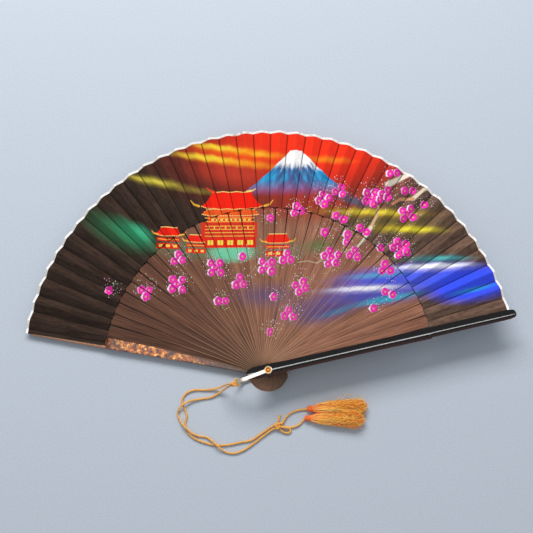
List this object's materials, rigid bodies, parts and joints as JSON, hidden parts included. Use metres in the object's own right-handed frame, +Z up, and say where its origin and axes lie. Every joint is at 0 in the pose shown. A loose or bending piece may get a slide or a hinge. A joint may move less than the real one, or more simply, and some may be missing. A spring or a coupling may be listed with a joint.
{
  "type": "hand fan",
  "caption": "Open folding hand fan with flat wooden ribs on a rivet, lacquered guards, a painted pleated cloth leaf with a bound rim, and a metal bail with a tasselled cord.",
  "frame": {"origin": "pivot axis of the sticks, at the flat underside of the rivet's lower head", "axes": "+Z up along the rivet; +Y towards the middle of the open fan; +X along its spread, towards the front guard"},
  "size_m": [0.3779, 0.2524, 0.027],
  "materials": {
    "rib_wood": "dark stained thin wood, satin, with fine grain along each rib",
    "rear_guard_lacquer": "mottled copper and gold lacquer over dark brown wood",
    "front_guard_lacquer": "glossy black lacquer with a reddish-brown edge",
    "leaf_cloth": "thin dark pleated cloth with an airbrushed landscape",
    "rim_binding": "silvery white binding with tan flecks",
    "rivet_copper": "copper-coloured metal, slightly worn",
    "washer_brass": "yellow brass",
    "bail_metal": "bright bent metal strip",
    "cord": "golden orange twisted cord",
    "tassel_thread": "loose orange and gold threads"
  },
  "bodies": {
    "rear_guard": {"rear_guard": "rear_guard_lacquer", "rivet": "rivet_copper", "rivet_washer": "washer_brass", "leaf": "leaf_cloth", "rim_binding": "rim_binding"},
    "rib_01": {"rib_01": "rib_wood"},
    "rib_02": {"rib_02": "rib_wood"},
    "rib_03": {"rib_03": "rib_wood"},
    "rib_04": {"rib_04": "rib_wood"},
    "rib_05": {"rib_05": "rib_wood"},
    "rib_06": {"rib_06": "rib_wood"},
    "rib_07": {"rib_07": "rib_wood"},
    "rib_08": {"rib_08": "rib_wood"},
    "rib_09": {"rib_09": "rib_wood"},
    "rib_10": {"rib_10": "rib_wood"},
    "rib_11": {"rib_11": "rib_wood"},
    "rib_12": {"rib_12": "rib_wood"},
    "rib_13": {"rib_13": "rib_wood"},
    "rib_14": {"rib_14": "rib_wood"},
    "rib_15": {"rib_15": "rib_wood"},
    "rib_16": {"rib_16": "rib_wood"},
    "rib_17": {"rib_17": "rib_wood"},
    "rib_18": {"rib_18": "rib_wood"},
    "rib_19": {"rib_19": "rib_wood"},
    "rib_20": {"rib_20": "rib_wood"},
    "rib_21": {"rib_21": "rib_wood"},
    "rib_22": {"rib_22": "rib_wood"},
    "rib_23": {"rib_23": "rib_wood"},
    "rib_24": {"rib_24": "rib_wood"},
    "rib_25": {"rib_25": "rib_wood"},
    "rib_26": {"rib_26": "rib_wood"},
    "rib_27": {"rib_27": "rib_wood"},
    "rib_28": {"rib_28": "rib_wood"},
    "rib_29": {"rib_29": "rib_wood"},
    "rib_30": {"rib_30": "rib_wood"},
    "rib_31": {"rib_31": "rib_wood"},
    "rib_32": {"rib_32": "rib_wood"},
    "rib_33": {"rib_33": "rib_wood"},
    "rib_34": {"rib_34": "rib_wood"},
    "rib_35": {"rib_35": "rib_wood"},
    "rib_36": {"rib_36": "rib_wood"},
    "front_guard": {"front_guard": "front_guard_lacquer"},
    "bail": {"bail": "bail_metal", "cord_hitch": "cord", "cord_strand_a": "cord", "cord_strand_b": "cord", "cord_knot": "cord", "knot_tail": "cord", "knot_loop": "cord", "tassel_lead_upper": "cord", "tassel_lead_lower": "cord", "tassel_head_upper": "tassel_thread", "tassel_head_lower": "tassel_thread", "tassel_skirt_upper": "tassel_thread", "tassel_skirt_lower": "tassel_thread"}
  },
  "joints": [
    {"name": "rib_01_pivot", "type": "hinge", "parent": "rear_guard", "child": "rib_01", "pos_m": [0, 0, 0], "axis": [0, 0, 1], "range_deg": [0, 4.25], "deforming": ["leaf", "rim_binding"]},
    {"name": "rib_02_pivot", "type": "hinge", "parent": "rib_01", "child": "rib_02", "pos_m": [0, 0, 0], "axis": [0, 0, 1], "range_deg": [0, 4.25]},
    {"name": "rib_03_pivot", "type": "hinge", "parent": "rib_02", "child": "rib_03", "pos_m": [0, 0, 0], "axis": [0, 0, 1], "range_deg": [0, 4.25]},
    {"name": "rib_04_pivot", "type": "hinge", "parent": "rib_03", "child": "rib_04", "pos_m": [0, 0, 0], "axis": [0, 0, 1], "range_deg": [0, 4.25]},
    {"name": "rib_05_pivot", "type": "hinge", "parent": "rib_04", "child": "rib_05", "pos_m": [0, 0, 0], "axis": [0, 0, 1], "range_deg": [0, 4.25]},
    {"name": "rib_06_pivot", "type": "hinge", "parent": "rib_05", "child": "rib_06", "pos_m": [0, 0, 0], "axis": [0, 0, 1], "range_deg": [0, 4.25]},
    {"name": "rib_07_pivot", "type": "hinge", "parent": "rib_06", "child": "rib_07", "pos_m": [0, 0, 0], "axis": [0, 0, 1], "range_deg": [0, 4.25]},
    {"name": "rib_08_pivot", "type": "hinge", "parent": "rib_07", "child": "rib_08", "pos_m": [0, 0, 0], "axis": [0, 0, 1], "range_deg": [0, 4.25]},
    {"name": "rib_09_pivot", "type": "hinge", "parent": "rib_08", "child": "rib_09", "pos_m": [0, 0, 0], "axis": [0, 0, 1], "range_deg": [0, 4.25]},
    {"name": "rib_10_pivot", "type": "hinge", "parent": "rib_09", "child": "rib_10", "pos_m": [0, 0, 0], "axis": [0, 0, 1], "range_deg": [0, 4.25]},
    {"name": "rib_11_pivot", "type": "hinge", "parent": "rib_10", "child": "rib_11", "pos_m": [0, 0, 0], "axis": [0, 0, 1], "range_deg": [0, 4.25]},
    {"name": "rib_12_pivot", "type": "hinge", "parent": "rib_11", "child": "rib_12", "pos_m": [0, 0, 0], "axis": [0, 0, 1], "range_deg": [0, 4.25]},
    {"name": "rib_13_pivot", "type": "hinge", "parent": "rib_12", "child": "rib_13", "pos_m": [0, 0, 0], "axis": [0, 0, 1], "range_deg": [0, 4.25]},
    {"name": "rib_14_pivot", "type": "hinge", "parent": "rib_13", "child": "rib_14", "pos_m": [0, 0, 0], "axis": [0, 0, 1], "range_deg": [0, 4.25]},
    {"name": "rib_15_pivot", "type": "hinge", "parent": "rib_14", "child": "rib_15", "pos_m": [0, 0, 0], "axis": [0, 0, 1], "range_deg": [0, 4.25]},
    {"name": "rib_16_pivot", "type": "hinge", "parent": "rib_15", "child": "rib_16", "pos_m": [0, 0, 0], "axis": [0, 0, 1], "range_deg": [0, 4.25]},
    {"name": "rib_17_pivot", "type": "hinge", "parent": "rib_16", "child": "rib_17", "pos_m": [0, 0, 0], "axis": [0, 0, 1], "range_deg": [0, 4.25]},
    {"name": "rib_18_pivot", "type": "hinge", "parent": "rib_17", "child": "rib_18", "pos_m": [0, 0, 0], "axis": [0, 0, 1], "range_deg": [0, 4.25]},
    {"name": "rib_19_pivot", "type": "hinge", "parent": "rib_18", "child": "rib_19", "pos_m": [0, 0, 0], "axis": [0, 0, 1], "range_deg": [0, 4.25]},
    {"name": "rib_20_pivot", "type": "hinge", "parent": "rib_19", "child": "rib_20", "pos_m": [0, 0, 0], "axis": [0, 0, 1], "range_deg": [0, 4.25]},
    {"name": "rib_21_pivot", "type": "hinge", "parent": "rib_20", "child": "rib_21", "pos_m": [0, 0, 0], "axis": [0, 0, 1], "range_deg": [0, 4.25]},
    {"name": "rib_22_pivot", "type": "hinge", "parent": "rib_21", "child": "rib_22", "pos_m": [0, 0, 0], "axis": [0, 0, 1], "range_deg": [0, 4.25]},
    {"name": "rib_23_pivot", "type": "hinge", "parent": "rib_22", "child": "rib_23", "pos_m": [0, 0, 0], "axis": [0, 0, 1], "range_deg": [0, 4.25]},
    {"name": "rib_24_pivot", "type": "hinge", "parent": "rib_23", "child": "rib_24", "pos_m": [0, 0, 0], "axis": [0, 0, 1], "range_deg": [0, 4.25]},
    {"name": "rib_25_pivot", "type": "hinge", "parent": "rib_24", "child": "rib_25", "pos_m": [0, 0, 0], "axis": [0, 0, 1], "range_deg": [0, 4.25]},
    {"name": "rib_26_pivot", "type": "hinge", "parent": "rib_25", "child": "rib_26", "pos_m": [0, 0, 0], "axis": [0, 0, 1], "range_deg": [0, 4.25]},
    {"name": "rib_27_pivot", "type": "hinge", "parent": "rib_26", "child": "rib_27", "pos_m": [0, 0, 0], "axis": [0, 0, 1], "range_deg": [0, 4.25]},
    {"name": "rib_28_pivot", "type": "hinge", "parent": "rib_27", "child": "rib_28", "pos_m": [0, 0, 0], "axis": [0, 0, 1], "range_deg": [0, 4.25]},
    {"name": "rib_29_pivot", "type": "hinge", "parent": "rib_28", "child": "rib_29", "pos_m": [0, 0, 0], "axis": [0, 0, 1], "range_deg": [0, 4.25]},
    {"name": "rib_30_pivot", "type": "hinge", "parent": "rib_29", "child": "rib_30", "pos_m": [0, 0, 0], "axis": [0, 0, 1], "range_deg": [0, 4.25]},
    {"name": "rib_31_pivot", "type": "hinge", "parent": "rib_30", "child": "rib_31", "pos_m": [0, 0, 0], "axis": [0, 0, 1], "range_deg": [0, 4.25]},
    {"name": "rib_32_pivot", "type": "hinge", "parent": "rib_31", "child": "rib_32", "pos_m": [0, 0, 0], "axis": [0, 0, 1], "range_deg": [0, 4.25]},
    {"name": "rib_33_pivot", "type": "hinge", "parent": "rib_32", "child": "rib_33", "pos_m": [0, 0, 0], "axis": [0, 0, 1], "range_deg": [0, 4.25]},
    {"name": "rib_34_pivot", "type": "hinge", "parent": "rib_33", "child": "rib_34", "pos_m": [0, 0, 0], "axis": [0, 0, 1], "range_deg": [0, 4.25]},
    {"name": "rib_35_pivot", "type": "hinge", "parent": "rib_34", "child": "rib_35", "pos_m": [0, 0, 0], "axis": [0, 0, 1], "range_deg": [0, 4.25]},
    {"name": "rib_36_pivot", "type": "hinge", "parent": "rib_35", "child": "rib_36", "pos_m": [0, 0, 0], "axis": [0, 0, 1], "range_deg": [0, 4.25]},
    {"name": "front_guard_pivot", "type": "hinge", "parent": "rib_36", "child": "front_guard", "pos_m": [0, 0, 0], "axis": [0, 0, 1], "range_deg": [0, 4.25]},
    {"name": "bail_swing", "type": "hinge", "parent": "rear_guard", "child": "bail", "pos_m": [0, 0, 0], "axis": [0, 0, 1], "range_deg": [-12, 60]}
  ],
  "couplings": [
    {"joint": "rib_02_pivot", "follows": "rib_01_pivot", "ratio": 1},
    {"joint": "rib_03_pivot", "follows": "rib_01_pivot", "ratio": 1},
    {"joint": "rib_04_pivot", "follows": "rib_01_pivot", "ratio": 1},
    {"joint": "rib_05_pivot", "follows": "rib_01_pivot", "ratio": 1},
    {"joint": "rib_06_pivot", "follows": "rib_01_pivot", "ratio": 1},
    {"joint": "rib_07_pivot", "follows": "rib_01_pivot", "ratio": 1},
    {"joint": "rib_08_pivot", "follows": "rib_01_pivot", "ratio": 1},
    {"joint": "rib_09_pivot", "follows": "rib_01_pivot", "ratio": 1},
    {"joint": "rib_10_pivot", "follows": "rib_01_pivot", "ratio": 1},
    {"joint": "rib_11_pivot", "follows": "rib_01_pivot", "ratio": 1},
    {"joint": "rib_12_pivot", "follows": "rib_01_pivot", "ratio": 1},
    {"joint": "rib_13_pivot", "follows": "rib_01_pivot", "ratio": 1},
    {"joint": "rib_14_pivot", "follows": "rib_01_pivot", "ratio": 1},
    {"joint": "rib_15_pivot", "follows": "rib_01_pivot", "ratio": 1},
    {"joint": "rib_16_pivot", "follows": "rib_01_pivot", "ratio": 1},
    {"joint": "rib_17_pivot", "follows": "rib_01_pivot", "ratio": 1},
    {"joint": "rib_18_pivot", "follows": "rib_01_pivot", "ratio": 1},
    {"joint": "rib_19_pivot", "follows": "rib_01_pivot", "ratio": 1},
    {"joint": "rib_20_pivot", "follows": "rib_01_pivot", "ratio": 1},
    {"joint": "rib_21_pivot", "follows": "rib_01_pivot", "ratio": 1},
    {"joint": "rib_22_pivot", "follows": "rib_01_pivot", "ratio": 1},
    {"joint": "rib_23_pivot", "follows": "rib_01_pivot", "ratio": 1},
    {"joint": "rib_24_pivot", "follows": "rib_01_pivot", "ratio": 1},
    {"joint": "rib_25_pivot", "follows": "rib_01_pivot", "ratio": 1},
    {"joint": "rib_26_pivot", "follows": "rib_01_pivot", "ratio": 1},
    {"joint": "rib_27_pivot", "follows": "rib_01_pivot", "ratio": 1},
    {"joint": "rib_28_pivot", "follows": "rib_01_pivot", "ratio": 1},
    {"joint": "rib_29_pivot", "follows": "rib_01_pivot", "ratio": 1},
    {"joint": "rib_30_pivot", "follows": "rib_01_pivot", "ratio": 1},
    {"joint": "rib_31_pivot", "follows": "rib_01_pivot", "ratio": 1},
    {"joint": "rib_32_pivot", "follows": "rib_01_pivot", "ratio": 1},
    {"joint": "rib_33_pivot", "follows": "rib_01_pivot", "ratio": 1},
    {"joint": "rib_34_pivot", "follows": "rib_01_pivot", "ratio": 1},
    {"joint": "rib_35_pivot", "follows": "rib_01_pivot", "ratio": 1},
    {"joint": "rib_36_pivot", "follows": "rib_01_pivot", "ratio": 1},
    {"joint": "front_guard_pivot", "follows": "rib_01_pivot", "ratio": 1}
  ]
}
